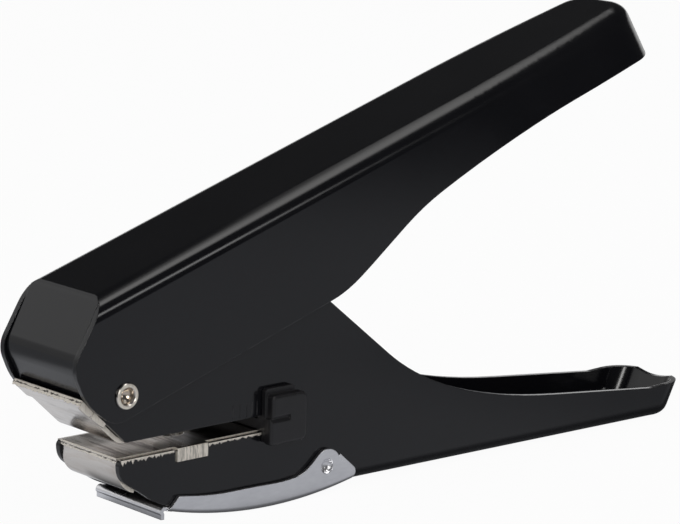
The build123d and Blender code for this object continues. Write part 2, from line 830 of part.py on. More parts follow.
# Drive pin with a clip groove near each end
pin_groove = bracket_width / 2 + running_gap
groove_sides = (
    side_at(throat_view, pin_groove),
    side_at(throat_view, -pin_groove - clip_thickness),
)
with BuildPart() as drive_pin:
    with BuildSketch(throat_view):
        with Locations((punch_reach, pin_height)):
            Circle(pin_diameter / 2)
    extrude(amount=pin_length / 2, both=True)
    with BuildSketch(*groove_sides):
        with Locations((punch_reach, pin_height)):
            Circle(pin_diameter)
            Circle(pin_clip_opening / 2, mode=Mode.SUBTRACT)
    extrude(amount=clip_thickness, mode=Mode.SUBTRACT)

with BuildPart() as pin_clips:
    with BuildSketch(*groove_sides):
        with Locations((punch_reach, pin_height)):
            Circle(pin_clip_outer / 2)
            Circle(pin_clip_opening / 2 + fit_gap, mode=Mode.SUBTRACT)
        with Locations((punch_reach, pin_height + pin_clip_outer / 2)):
            Rectangle(pin_clip_opening, pin_clip_outer, mode=Mode.SUBTRACT)
    extrude(amount=clip_thickness)

# Chip tray: a bellied pan outside the walls, with lugs that hang on dimples and a lip in front
tray_inner = frame_width + 2 * tray_gap
tray_outer = tray_inner + 2 * tray_sheet
tray_belly_mid = (tray_front + tray_end) / 2
floor_mid = (lip_face + tray_rear) / 2
lug_first = (
    tray_pivot[0] + lug_radius * cos(radians(lug_start)),
    tray_pivot[1] + lug_radius * sin(radians(lug_start)),
)
lug_last = (
    tray_pivot[0] + lug_radius * cos(radians(lug_stop)),
    tray_pivot[1] + lug_radius * sin(radians(lug_stop)),
)
lug_way = (sin(radians(lug_start)), -cos(radians(lug_start)))
lip_root = (tray_front + 2 * tray_sheet, belly_at(tray_front + 2 * tray_sheet, tray_sheet))
lip_top = belly_at(lip_face, tray_sheet)
with BuildPart() as tray_core:
    with BuildSketch(throat_view):
        with BuildLine():
            ThreePointArc(
                (lip_face - lip_bend, belly_at(lip_face - lip_bend, tray_sheet)),
                (floor_mid, belly_at(floor_mid, tray_sheet)),
                (tray_rear, belly_at(tray_rear, tray_sheet)),
            )
            Polyline(
                (tray_rear, belly_at(tray_rear, tray_sheet)),
                (tray_rear, -cutter_reach),
                (tray_rear + cutter_reach, -cutter_reach),
                (tray_rear + cutter_reach, 0),
                (lip_face - lip_bend, 0),
                (lip_face - lip_bend, belly_at(lip_face - lip_bend, tray_sheet)),
            )
        make_face()
    extrude(amount=tray_inner / 2, both=True)
    fillet(tray_core.edges().filter_by(GeomType.CIRCLE), radius=tray_fold - tray_sheet)

with BuildPart() as chip_tray:
    with BuildSketch(throat_view):
        with BuildLine():
            ThreePointArc(
                (tray_end, belly_at(tray_end, 0)),
                (tray_belly_mid, belly_at(tray_belly_mid, 0)),
                (tray_front, belly_at(tray_front, 0)),
            )
            FilletPolyline(
                (tray_front, belly_at(tray_front, 0)),
                tray_corner,
                tray_edge[0],
                radius=tray_corner_radius,
            )
            Spline(*tray_edge, tangents=[(1, slope) for slope in tray_edge_slopes])
            Spline(tray_edge[-1], lug_first, tangents=[(1, tray_edge_slopes[-1]), lug_way])
            ThreePointArc(lug_first, (tray_pivot[0], tray_pivot[1] + lug_radius), lug_last)
            FilletPolyline(
                lug_last,
                lug_step,
                tray_heel,
                (tray_end, belly_at(tray_end, 0)),
                radius=[0, tray_heel_radius],
            )
        make_face()
    extrude(amount=tray_outer / 2, both=True)
    belly_edges = [
        edge
        for edge in chip_tray.edges().filter_by(GeomType.CIRCLE)
        if edge.length > tray_rear / 2
    ]
    fillet(belly_edges, radius=tray_fold)
    add(tray_core.part, mode=Mode.SUBTRACT)
    with BuildSketch(throat_view):
        with BuildLine():
            FilletPolyline(
                lip_root,
                (lip_face, lip_top),
                (lip_face, lip_top - lip_drop),
                (lip_face + lip_step, lip_top - lip_drop - lip_crease),
                (lip_face + lip_step, lip_top - lip_drop - lip_crease - lip_skirt),
                radius=[lip_bend, 0, 0],
            )
            offset(amount=tray_sheet, side=Side.LEFT)
        make_face()
    extrude(amount=lip_width / 2, both=True)

    # Dimples pressed inwards, on which the tray swings
    dish_centre = tray_inner / 2 - dimple_depth + dimple_wall + dish_radius
    for side in (-1, 1):
        with BuildSketch(end_view(throat_view, *tray_pivot)):
            with BuildLine():
                FilletPolyline(
                    (side * (tray_outer - tray_sheet) / 2, 0),
                    (side * (tray_outer - tray_sheet) / 2, dimple_radius),
                    (side * (tray_inner / 2 - dimple_depth), dimple_radius),
                    (side * (tray_inner / 2 - dimple_depth), 0),
                    radius=[0, dimple_edge],
                )
                Line((side * (tray_inner / 2 - dimple_depth), 0), (side * (tray_outer - tray_sheet) / 2, 0))
            make_face()
        revolve(axis=Axis(throat_view.from_local_coords((*tray_pivot, 0)), (0, 1, 0)))
        with BuildSketch(end_view(throat_view, *tray_pivot)):
            with Locations((side * dish_centre, 0)):
                Circle(dish_radius)
            Rectangle(cutter_reach, cutter_reach, align=(Align.CENTER, Align.MAX), mode=Mode.SUBTRACT)
        revolve(
            axis=Axis(throat_view.from_local_coords((*tray_pivot, 0)), (0, 1, 0)),
            mode=Mode.SUBTRACT,
        )

# Paper guide: a moulded stop that straddles both walls, joined by a web through the throat
flange_inner = frame_width / 2 + guide_play
flange_outer = flange_inner + flange_thickness
flange_rear = guide_front + flange_length
web_half = insert_width / 2 + guide_play
with BuildPart() as paper_guide:
    with BuildSketch(side_at(throat_view, flange_inner)):
        with BuildLine():
            FilletPolyline(
                (guide_front, flange_height[1]),
                (flange_rear, flange_height[1]),
                (flange_rear, flange_height[0]),
                (guide_front, flange_height[0]),
                radius=flange_corner,
                close=True,
            )
        make_face()
    extrude(amount=flange_thickness)
    with BuildSketch(side_at(throat_view, flange_outer)):
        with BuildLine():
            FilletPolyline(
                (block_upper_front, block_waist),
                (block_upper_front, block_height[1]),
                (block_rear, block_height[1]),
                (block_rear, block_height[0]),
                (block_lower_front, block_height[0]),
                (block_lower_front, block_waist),
                radius=[block_corner, block_rear_corner, block_rear_corner, block_corner],
            )
            Line((block_lower_front, block_waist), (block_upper_front, block_waist))
        make_face()
    extrude(amount=block_thickness)
    fillet(paper_guide.faces().sort_by(Axis.Y)[0].outer_wire().edges(), radius=block_edge)
    block_outer = flange_outer + block_thickness
    waist_plane = Plane(
        origin=throat_view.from_local_coords((block_lower_front, block_waist, block_outer)),
        x_dir=(0, 1, 0),
        z_dir=throat_view.x_dir,
    )
    with BuildSketch(waist_plane):
        with BuildLine():
            Polyline((0, waist_width / 2), (0, -waist_width / 2), (waist_depth, 0), close=True)
        make_face()
    extrude(amount=waist_length, mode=Mode.SUBTRACT)
    # Part of the web that runs through the slot in the wall
    with BuildSketch(throat_view):
        with BuildLine():
            Polyline(
                (guide_front, throat_roof - guide_play),
                (flange_rear, throat_roof - guide_play),
                (flange_rear, throat_floor + guide_play),
                (guide_front, throat_floor + guide_play),
                close=True,
            )
        make_face()
    extrude(amount=flange_inner + fit_gap)
    with BuildSketch(throat_view):
        Rectangle(2 * cutter_reach, 2 * cutter_reach)
    extrude(amount=web_half, mode=Mode.SUBTRACT)
    # Thinner part between the walls, over the die plate
    with BuildSketch(throat_view):
        with BuildLine():
            Polyline(
                (guide_front, die_top + web_play),
                (flange_rear, die_top + web_play),
                (flange_rear, die_top + web_play + web_thickness),
                (guide_front, die_top + web_play + web_thickness),
                close=True,
            )
        make_face()
    extrude(amount=web_half + fit_gap)
    mirror(about=Plane.XZ)

pieces = {
    "upper_handle": upper_handle,
    "lower_handle": lower_handle,
    "throat_plate": throat_plate,
    "die_plate": die_plate,
    "jaw_shield": jaw_shield,
    "pivot_rivet": pivot_rivet,
    "chip_tray": chip_tray,
    "paper_guide": paper_guide,
    "punch": punch,
    "punch_guide": punch_guide,
    "guide_rivets": guide_rivets,
    "return_spring": return_spring,
    "spring_washer": spring_washer,
    "punch_clip": punch_clip,
    "drive_bracket": drive_bracket,
    "drive_pin": drive_pin,
    "pin_clips": pin_clips,
    "pivot_spacer": pivot_spacer,
    "pivot_washers": pivot_washers,
    "arm_spacer": arm_spacer,
    "arm_rivet": arm_rivet,
}
for name, piece in pieces.items():
    piece.part.label = name
    export_step(piece.part, "parts/" + name + ".step")
    print(name, round(piece.part.volume, 1), len(piece.part.solids()))
print("rest tilt", rest_tilt, "pivot", pivot_place, "travel", punch_travel)
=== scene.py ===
import bpy
import bmesh
import random
from math import cos, radians, sin
from mathutils import Matrix, Vector


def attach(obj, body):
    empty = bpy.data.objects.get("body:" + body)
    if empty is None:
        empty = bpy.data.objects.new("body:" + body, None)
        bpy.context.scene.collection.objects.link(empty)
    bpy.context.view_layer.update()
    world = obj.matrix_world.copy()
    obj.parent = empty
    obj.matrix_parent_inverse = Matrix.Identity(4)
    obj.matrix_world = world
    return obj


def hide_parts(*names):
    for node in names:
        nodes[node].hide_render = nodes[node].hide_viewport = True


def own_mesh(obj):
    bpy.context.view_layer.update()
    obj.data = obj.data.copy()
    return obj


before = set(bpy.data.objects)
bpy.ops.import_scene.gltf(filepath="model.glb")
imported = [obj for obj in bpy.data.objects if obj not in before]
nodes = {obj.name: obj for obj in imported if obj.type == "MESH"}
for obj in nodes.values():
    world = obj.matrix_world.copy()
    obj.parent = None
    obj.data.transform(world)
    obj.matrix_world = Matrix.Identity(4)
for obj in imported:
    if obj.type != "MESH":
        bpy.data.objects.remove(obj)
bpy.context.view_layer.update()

# Sizes of the punch are in millimetres here, and the scene is in metres.
perMetre = 1000

# The paper throat leans back a little when the punch stands on a table.
# Along runs from the pivot to the tail, up is square to it.
rest = {"tilt": 0.0273167, "pivotX": -80.5404892, "pivotZ": 30.8700332}


def throatPoint(along, across, up):
    lean = radians(rest["tilt"])
    return Vector((
        rest["pivotX"] + along * cos(lean) + up * sin(lean),
        across,
        rest["pivotZ"] - along * sin(lean) + up * cos(lean),
    )) / perMetre


def throatWay(along, across, up):
    return (throatPoint(along, across, up) - throatPoint(0, 0, 0)).normalized()


def placeObject(name, data):
    made = bpy.data.objects.new(name, data)
    bpy.context.scene.collection.objects.link(made)
    return made


# Camera

view = {
    "turn": 42.292, "drop": 11.956, "roll": 1.599, "distance": 654.6, "aim": (68.7, 0, 17.0),
    "lens": 158.84, "sensor": 36, "nearest": 0.01,
}


def placeCamera():
    turn, drop, roll = radians(view["turn"]), radians(view["drop"]), radians(view["roll"])
    look = throatWay(sin(turn) * cos(drop), cos(turn) * cos(drop), -sin(drop))
    level = throatWay(cos(turn), -sin(turn), 0)
    head = level.cross(look)
    right = level * cos(roll) + head * sin(roll)
    upward = head * cos(roll) - level * sin(roll)
    lensData = bpy.data.cameras.new("photoView")
    lensData.lens = view["lens"]
    lensData.sensor_width = view["sensor"]
    lensData.sensor_fit = "HORIZONTAL"
    lensData.clip_start = view["nearest"]
    camera = placeObject("photoView", lensData)
    spot = throatPoint(*view["aim"]) - look * view["distance"] / perMetre
    camera.matrix_world = Matrix((
        (right.x, upward.x, -look.x, spot.x),
        (right.y, upward.y, -look.y, spot.y),
        (right.z, upward.z, -look.z, spot.z),
        (0, 0, 0, 1),
    ))
    bpy.context.scene.camera = camera


placeCamera()
print("camera placed")


# Small helpers for node trees

def bareTree(owner):
    owner.use_nodes = True
    owner.node_tree.nodes.clear()
    return owner.node_tree


def newNode(tree, kind, **settings):
    made = tree.nodes.new(kind)
    for name, value in settings.items():
        setattr(made, name, value)
    return made


def feed(tree, socket, value):
    # a socket is linked, anything else is set as the plain value
    if isinstance(value, bpy.types.NodeSocket):
        tree.links.new(value, socket)
    else:
        socket.default_value = value


def calc(tree, operation, *values, clamp=False):
    made = newNode(tree, "ShaderNodeMath", operation=operation, use_clamp=clamp)
    for socket, value in zip(made.inputs, values):
        feed(tree, socket, value)
    return made.outputs[0]


def product(tree, total, *others):
    for other in others:
        total = calc(tree, "MULTIPLY", total, other)
    return total


def vectorCalc(tree, operation, first, second=None, gives="Vector"):
    made = newNode(tree, "ShaderNodeVectorMath", operation=operation)
    feed(tree, made.inputs[0], first)
    if second is not None:
        feed(tree, made.inputs[1], second)
    return made.outputs[gives]


def split(tree, value):
    made = newNode(tree, "ShaderNodeSeparateXYZ")
    feed(tree, made.inputs[0], value)
    return made.outputs


def span(tree, value, low, high, newLow=0.0, newHigh=1.0, smooth=False):
    made = newNode(tree, "ShaderNodeMapRange", interpolation_type="SMOOTHSTEP" if smooth else "LINEAR")
    wanted = {"Value": value, "From Min": low, "From Max": high, "To Min": newLow, "To Max": newHigh}
    for name, given in wanted.items():
        feed(tree, made.inputs[name], given)
    return made.outputs["Result"]


def blend(tree, share, first, second, kind="RGBA"):
    made = newNode(tree, "ShaderNodeMix", data_type=kind)
    feed(tree, made.inputs["Factor"], share)
    feed(tree, made.inputs["A"], first)
    feed(tree, made.inputs["B"], second)
    return made.outputs["Result"]


def blendShaders(tree, share, first, second):
    made = newNode(tree, "ShaderNodeMixShader")
    for socket, value in zip(made.inputs, (share, first, second)):
        feed(tree, socket, value)
    return made.outputs[0]


noiseMiddle = 0.5


def noise(tree, where, scale, detail, rough=0.5, warp=0.0):
    made = newNode(tree, "ShaderNodeTexNoise")
    wanted = {"Vector": where, "Scale": scale, "Detail": detail, "Roughness": rough, "Distortion": warp}
    for name, given in wanted.items():
        feed(tree, made.inputs[name], given)
    return made.outputs["Fac"]


def newGroup(name, takes, gives):
    # what it takes and gives are names with their socket types
    group = bpy.data.node_groups.new(name, "ShaderNodeTree")
    for way, sockets in (("INPUT", takes), ("OUTPUT", gives)):
        for label, kind in sockets.items():
            group.interface.new_socket(name=label, in_out=way, socket_type=kind)
    return group, group.nodes.new("NodeGroupInput"), group.nodes.new("NodeGroupOutput")


def useGroup(tree, group, **values):
    made = newNode(tree, "ShaderNodeGroup", node_tree=group)
    for label, value in values.items():
        feed(tree, made.inputs[label], value)
    return made.outputs


number = "NodeSocketFloat"
vector = "NodeSocketVector"


# Shared effects

def makeThroatPlace():
    # millimetres along, across and above the pivot, and the surface's own direction in the same frame
    group, _, gives = newGroup("throatPlace", {}, {"Place": vector, "Facing": vector})
    source = newNode(group, "ShaderNodeTexCoord")
    lean = radians(rest["tilt"])
    pivot = Matrix.Rotation(-lean, 3, "Y") @ Vector((rest["pivotX"], 0, rest["pivotZ"]))
    shift = newNode(group, "ShaderNodeMapping", vector_type="POINT")
    shift.inputs["Scale"].default_value = (perMetre, perMetre, perMetre)
    shift.inputs["Rotation"].default_value = (0, -lean, 0)
    shift.inputs["Location"].default_value = -pivot
    feed(group, shift.inputs["Vector"], source.outputs["Object"])
    facing = newNode(group, "ShaderNodeMapping", vector_type="VECTOR")
    facing.inputs["Rotation"].default_value = (0, -lean, 0)
    feed(group, facing.inputs["Vector"], source.outputs["Normal"])
    feed(group, gives.inputs["Place"], shift.outputs[0])
    feed(group, gives.inputs["Facing"], facing.outputs[0])
    return group


# how far the rounded edge has turned from the flat, as a cosine, and the noise that breaks up its mask
edgeLook = {"samples": 6, "turned": (0.985, 0.86), "detail": 2, "patches": (0.38, 0.62, 0.15, 1.0)}


def makeRoundedEdge():
    # a soft edge for sheared and moulded corners, and a mask of where they are
    group, takes, gives = newGroup(
        "roundedEdge", {"Radius": number, "Breakup": number, "Amount": number}, {"Normal": vector, "Mask": number})
    rounded = newNode(group, "ShaderNodeBevel", samples=edgeLook["samples"])
    feed(group, rounded.inputs["Radius"], takes.outputs["Radius"])
    flat = newNode(group, "ShaderNodeNewGeometry")
    match = vectorCalc(group, "DOT_PRODUCT", rounded.outputs[0], flat.outputs["Normal"], gives="Value")
    source = newNode(group, "ShaderNodeTexCoord")
    patch = noise(group, source.outputs["Object"], takes.outputs["Breakup"], edgeLook["detail"])
    edge = span(group, match, *edgeLook["turned"], smooth=True)
    mask = product(group, edge, span(group, patch, *edgeLook["patches"]))
    mask = calc(group, "MULTIPLY", mask, takes.outputs["Amount"], clamp=True)
    feed(group, gives.inputs["Mask"], mask)
    feed(group, gives.inputs["Normal"], rounded.outputs[0])
    return group


grainLook = {"cloudDetail": 4, "speckDetail": 2, "limits": (0.3, 0.7), "cloudShare": 0.35, "speckShare": 0.65}


def makeGrain():
    # even variation at two scales, for sprayed, moulded and rolled surfaces
    group, takes, gives = newGroup(
        "fineGrain", {"Place": vector, "Broad": number, "Fine": number, "Stretch": vector},
        {"Cloud": number, "Speck": number, "Height": number})
    stretched = vectorCalc(group, "MULTIPLY", takes.outputs["Place"], takes.outputs["Stretch"])
    cloud = noise(group, stretched, takes.outputs["Broad"], grainLook["cloudDetail"])
    speck = noise(group, stretched, takes.outputs["Fine"], grainLook["speckDetail"])
    feed(group, gives.inputs["Cloud"], span(group, cloud, *grainLook["limits"]))
    feed(group, gives.inputs["Speck"], span(group, speck, *grainLook["limits"]))
    cloudPart = product(group, cloud, grainLook["cloudShare"])
    speckPart = product(group, speck, grainLook["speckShare"])
    feed(group, gives.inputs["Height"], calc(group, "ADD", cloudPart, speckPart))
    return group


# each slant with its shift and the scale of its gaps: the rubs stop where a broad noise is low
rubLook = {
    "slants": ((0.5, 3.1, 0.141), (-1.1, 7.7, 0.187)), "pitch": 0.6, "stretch": (0.12, 3.0, 3.0),
    "detail": 1, "thin": 0.004, "gapRough": 0.55, "gaps": (0.52, 0.6),
}


def makeScratches():
    # a few thin straight rubs at two slants
    group, takes, gives = newGroup("rubMarks", {"Place": vector, "Scale": number, "Share": number}, {"Mask": number})
    total = None
    for slant, shift, gapScale in rubLook["slants"]:
        turned = newNode(group, "ShaderNodeMapping")
        turned.inputs["Rotation"].default_value = (slant, slant * rubLook["pitch"], slant)
        turned.inputs["Location"].default_value = (shift, shift, shift)
        turned.inputs["Scale"].default_value = rubLook["stretch"]
        feed(group, turned.inputs["Vector"], takes.outputs["Place"])
        line = noise(group, turned.outputs[0], takes.outputs["Scale"], rubLook["detail"])
        middle = calc(group, "ABSOLUTE", calc(group, "SUBTRACT", line, noiseMiddle))
        thin = span(group, middle, rubLook["thin"], 0.0)
        gap = noise(group, takes.outputs["Place"], gapScale, rubLook["detail"], rubLook["gapRough"])
        thin = product(group, thin, span(group, gap, *rubLook["gaps"]))
        total = thin if total is None else calc(group, "MAXIMUM", total, thin)
    feed(group, gives.inputs["Mask"], calc(group, "MULTIPLY", total, takes.outputs["Share"], clamp=True))
    return group


throatPlace = makeThroatPlace()
roundedEdge = makeRoundedEdge()
fineGrain = makeGrain()
rubMarks = makeScratches()
print("shared effects made")


# Finishes. In each dictionary grain is the broad and the fine scale, edge the radius, breakup and amount,
# rubs the scale and share, bump the strength and distance, and gloss the roughness at both ends of the grain.

finishes = {}


def beginFinish(name, look):
    finishes[name] = bpy.data.materials.new(name)
    tree = bareTree(finishes[name])
    output = newNode(tree, "ShaderNodeOutputMaterial")
    surface = newNode(tree, "ShaderNodeBsdfPrincipled")
    feed(tree, output.inputs["Surface"], surface.outputs[0])
    place = useGroup(tree, throatPlace)
    broad, fine = look["grain"]
    grain = useGroup(tree, fineGrain, Place=place["Place"], Broad=broad, Fine=fine, Stretch=look["stretch"])
    radius, breakup, amount = look["edge"]
    edge = useGroup(tree, roundedEdge, Radius=radius, Breakup=breakup, Amount=amount)
    effects = {
        "place": place["Place"], "facing": place["Facing"],
        "cloud": grain["Cloud"], "speck": grain["Speck"], "height": grain["Height"],
        "edge": edge["Mask"], "rounded": edge["Normal"],
    }
    if "rubs" in look:
        scale, share = look["rubs"]
        effects["rubs"] = useGroup(tree, rubMarks, Place=place["Place"], Scale=scale, Share=share)["Mask"]
    return tree, surface, effects


def finishBump(tree, surface, height, look, effects):
    bump = newNode(tree, "ShaderNodeBump")
    strength, distance = look["bump"]
    wanted = {"Strength": strength, "Distance": distance, "Height": height, "Normal": effects["rounded"]}
    for name, given in wanted.items():
        feed(tree, bump.inputs[name], given)
    feed(tree, surface.inputs["Normal"], bump.outputs[0])


# the worn colour on the rounded edges is partly worn paint and partly a painted highlight along those edges
enamel = {
    "dark": (0.0042, 0.0043, 0.0058, 1), "light": (0.0056, 0.0057, 0.0074, 1), "worn": (0.1, 0.1, 0.103, 1),
    "grain": (0.05, 1.9), "stretch": (1, 1, 1), "edge": (0.00028, 420.0, 0.8), "rubs": (0.35, 0.35),
    "bump": (0.05, 0.00004), "gloss": (0.13, 0.17), "rubbed": 0.1, "specked": 0.02,
}


def makeEnamel():
    tree, surface, effects = beginFinish("blackEnamel", enamel)
    base = blend(tree, effects["cloud"], enamel["dark"], enamel["light"])
    # rounded edges lightened: partly worn paint, partly a painted highlight
    base = blend(tree, effects["edge"], base, enamel["worn"])
    feed(tree, surface.inputs["Base Color"], base)
    gloss = span(tree, effects["cloud"], 0, 1, *enamel["gloss"])
    gloss = calc(tree, "ADD", gloss, product(tree, effects["rubs"], enamel["rubbed"]))
    gloss = calc(tree, "ADD", gloss, product(tree, effects["speck"], enamel["specked"]))
    feed(tree, surface.inputs["Roughness"], gloss)
    finishBump(tree, surface, effects["height"], enamel, effects)


# the cream on cut faces is their pale bare metal with a painted highlight on it
nickel = {
    "clean": (0.69, 0.655, 0.615, 1), "warm": (0.47, 0.39, 0.32, 1), "dark": (0.05, 0.042, 0.036, 1),
    "bareCutAndSheen": (0.93, 0.87, 0.78, 1), "drawn": (0.12, 0.085, 0.07, 1), "rubbed": 0.5,
    "grain": (0.16, 2.4), "stretch": (1, 1, 1), "edge": (0.00018, 900.0, 0.5), "rubs": (0.6, 0.8),
    "bump": (0.35, 0.00006), "grainDepth": 0.3, "tornDepth": 1.6, "gloss": (0.1, 0.2), "cutGloss": 0.2, "bare": 0.4,
}
# brown stains and dark draw marks across the plates, and torn streaks down their short sides:
# how each is stretched, its noise (scale, detail, roughness, warp) and where it starts and ends
streaks = {
    "stain": {"stretch": (1.0, 0.2, 1.0), "noise": (0.34, 5, 0.62, 0.8), "limits": (0.46, 0.74)},
    "drawn": {"stretch": (1.0, 0.1, 1.0), "noise": (0.55, 4, 0.65, 0.5), "limits": (0.5, 0.62)},
    "torn": {"stretch": (1.0, 1.0, 0.12), "noise": (1.9, 3, 0.7), "limits": (0.44, 0.6)},
}
# how much of each streak a plate has, and for a sheared front face where it starts and the way through it
sheared = {
    "nickelPlate": {"stain": 0.45, "drawn": 0.15, "torn": 0.2, "start": None},
    "flareNickel": {"stain": 0.35, "drawn": 0.3, "torn": 0.2, "start": (-10.69, 0, -0.42), "way": (0.682, 0, 0.731)},
    "dieNickel": {"stain": 1.0, "drawn": 0.95, "torn": 0.5, "start": (0.35, 0, -14.85), "way": (0, 0, 1)},
}
# which faces are cut, and the dark band low on a front face, torn metal partly painted with shade in its notches, in
# mm through the sheet
cutLook = {
    "sideways": (0.6, 0.8), "ahead": (-0.8, 0, 0.5), "front": (0.66, 0.74), "ragged": (1.5, 4, 0.7), "sway": 1.1,
    "bandLow": (0.2, 0.28), "bandHigh": (0.56, 0.46), "chips": (0.9, 2, 0.5), "chipped": (0.42, 0.48),
}


def streakMask(tree, place, streak):
    stretched = vectorCalc(tree, "MULTIPLY", place, streak["stretch"])
    return span(tree, noise(tree, stretched, *streak["noise"]), *streak["limits"])


def frontFace(tree, effects, cut):
    # where the front face is, and the torn lower half of it, which gets painted shade in its notches
    ahead = vectorCalc(tree, "DOT_PRODUCT", effects["facing"], cutLook["ahead"], gives="Value")
    front = span(tree, ahead, *cutLook["front"])
    fromStart = vectorCalc(tree, "SUBTRACT", effects["place"], cut["start"])
    through = vectorCalc(tree, "DOT_PRODUCT", fromStart, cut["way"], gives="Value")
    ragged = calc(tree, "SUBTRACT", noise(tree, effects["place"], *cutLook["ragged"]), noiseMiddle)
    level = calc(tree, "ADD", through, product(tree, ragged, cutLook["sway"]))
    chips = span(tree, noise(tree, effects["place"], *cutLook["chips"]), *cutLook["chipped"])
    band = product(tree, span(tree, level, *cutLook["bandLow"]), span(tree, level, *cutLook["bandHigh"]))
    return front, product(tree, front, product(tree, band, chips))


def makeNickel(name, cut):
    tree, surface, effects = beginFinish(name, nickel)
    stain, drawn, torn = [
        product(tree, streakMask(tree, effects["place"], streaks[kind]), cut[kind])
        for kind in ("stain", "drawn", "torn")]
    base = blend(tree, stain, nickel["clean"], nickel["warm"])
    base = blend(tree, drawn, base, nickel["drawn"])
    base = blend(tree, product(tree, effects["rubs"], nickel["rubbed"]), base, nickel["dark"])
    facing = split(tree, effects["facing"])
    cutMask = span(tree, calc(tree, "ABSOLUTE", facing["Y"]), *cutLook["sideways"])
    depth = product(tree, cutMask, torn)
    # cut faces painted pale cream and made less metallic: bare metal with a painted highlight
    base = blend(tree, cutMask, base, nickel["bareCutAndSheen"])
    # torn grooves darkened: rough torn metal, partly painted shade in the grooves
    base = blend(tree, depth, base, nickel["dark"])
    if cut["start"]:
        front, tornAndShaded = frontFace(tree, effects, cut)
        # the front face painted pale cream too: bare metal with a painted highlight
        base = blend(tree, front, base, nickel["bareCutAndSheen"])
        # its torn lower half darkened: rough metal, partly painted shade in the notches
        base = blend(tree, tornAndShaded, base, nickel["dark"])
        cutMask = calc(tree, "MAXIMUM", cutMask, front)
        depth = calc(tree, "MAXIMUM", depth, tornAndShaded)
    feed(tree, surface.inputs["Base Color"], base)
    feed(tree, surface.inputs["Metallic"], span(tree, cutMask, 0, 1, 1, nickel["bare"]))
    gloss = span(tree, effects["cloud"], 0, 1, *nickel["gloss"])
    gloss = calc(tree, "ADD", gloss, product(tree, cutMask, nickel["cutGloss"]))
    feed(tree, surface.inputs["Roughness"], gloss)
    height = calc(
        tree, "SUBTRACT",
        product(tree, effects["height"], nickel["grainDepth"]), product(tree, depth, nickel["tornDepth"]))
    finishBump(tree, surface, height, nickel, effects)


tray = {
    "light": (0.96, 0.96, 0.98, 1), "shade": (0.86, 0.86, 0.89, 1), "dull": (0.62, 0.62, 0.65, 1),
    "bright": (0.98, 0.98, 1, 1), "specked": 0.18, "rubbed": 0.15, "gloss": (0.26, 0.36),
    "grain": (0.12, 1.4), "stretch": (0.35, 1, 1), "edge": (0.0002, 900.0, 0.5), "rubs": (0.5, 0.7),
    "bump": (0.2, 0.00005),
}


def makeTraySteel():
    tree, surface, effects = beginFinish("traySteel", tray)
    base = blend(tree, effects["cloud"], tray["light"], tray["shade"])
    base = blend(tree, product(tree, effects["speck"], tray["specked"]), base, tray["dull"])
    base = blend(tree, effects["edge"], base, tray["bright"])
    feed(tree, surface.inputs["Base Color"], base)
    surface.inputs["Metallic"].default_value = 1
    gloss = span(tree, effects["cloud"], 0, 1, *tray["gloss"])
    gloss = calc(tree, "ADD", gloss, product(tree, effects["rubs"], tray["rubbed"]))
    feed(tree, surface.inputs["Roughness"], gloss)
    finishBump(tree, surface, effects["height"], tray, effects)


# mouldings and plain steels that have only an even grain and a lighter colour on their rounded edges
plain = {
    "guidePlastic": {
        "light": (0.0096, 0.0092, 0.011, 1), "shade": (0.014, 0.0135, 0.0155, 1), "worn": (0.05, 0.05, 0.052, 1),
        "metal": 0, "grain": (0.2, 3.0), "stretch": (1, 1, 1), "edge": (0.00035, 700.0, 0.4),
        "bump": (0.3, 0.00004), "gloss": (0.32, 0.42), "glossBy": "cloud",
    },
}
steels = {
    "groundSteel": {
        "light": (0.5, 0.5, 0.52, 1), "shade": (0.33, 0.33, 0.35, 1), "gloss": (0.22, 0.38), "stretch": (0.3, 1, 1)},
    "springSteel": {
        "light": (0.55, 0.54, 0.52, 1), "shade": (0.3, 0.29, 0.28, 1), "gloss": (0.2, 0.34), "stretch": (1, 1, 0.4)},
    "shankNickel": {
        "light": (0.95, 0.9, 0.83, 1), "shade": (0.6, 0.5, 0.4, 1), "gloss": (0.14, 0.22), "stretch": (1, 1, 1)},
    "castZinc": {
        "light": (0.5, 0.51, 0.53, 1), "shade": (0.36, 0.37, 0.39, 1), "gloss": (0.4, 0.58), "stretch": (1, 1, 1)},
}
for name, steel in steels.items():
    plain[name] = {
        **steel, "worn": (0.78, 0.78, 0.79, 1), "metal": 1, "grain": (0.3, 3.2), "edge": (0.00015, 900.0, 0.5),
        "bump": (0.25, 0.00004), "glossBy": "speck",
    }


def makePlain(name, look):
    tree, surface, effects = beginFinish(name, look)
    base = blend(tree, effects["cloud"], look["light"], look["shade"])
    base = blend(tree, effects["edge"], base, look["worn"])
    feed(tree, surface.inputs["Base Color"], base)
    surface.inputs["Metallic"].default_value = look["metal"]
    feed(tree, surface.inputs["Roughness"], span(tree, effects[look["glossBy"]], 0, 1, *look["gloss"]))
    finishBump(tree, surface, effects["height"], look, effects)


makeEnamel()
makeTraySteel()
for name, cut in sheared.items():
    makeNickel(name, cut)
for name, look in plain.items():
    makePlain(name, look)

wearers = {
    "blackEnamel": ("upper_handle", "lower_handle"),
    "nickelPlate": ("jaw_shield", "pivot_rivet"),
    "flareNickel": ("throat_plate",),
    "dieNickel": ("die_plate",),
    "traySteel": ("chip_tray",),
    "guidePlastic": ("paper_guide",),
    "groundSteel": (
        "punch", "guide_rivets", "spring_washer", "drive_bracket", "drive_pin", "pivot_spacer", "pivot_washers",
        "arm_spacer", "arm_rivet"),
    "springSteel": ("return_spring", "punch_clip", "pin_clips"),
    "castZinc": ("punch_guide",),
}
for name, worn in wearers.items():
    for wearer in worn:
        for place in nodes[wearer].material_slots:
            place.material = finishes[name]
print("finishes on the nodes")


# Pieces made here, all on the frame

def finishMesh(name, mesh):
    data = bpy.data.meshes.new(name)
    mesh.to_mesh(data)
    mesh.free()
    return data


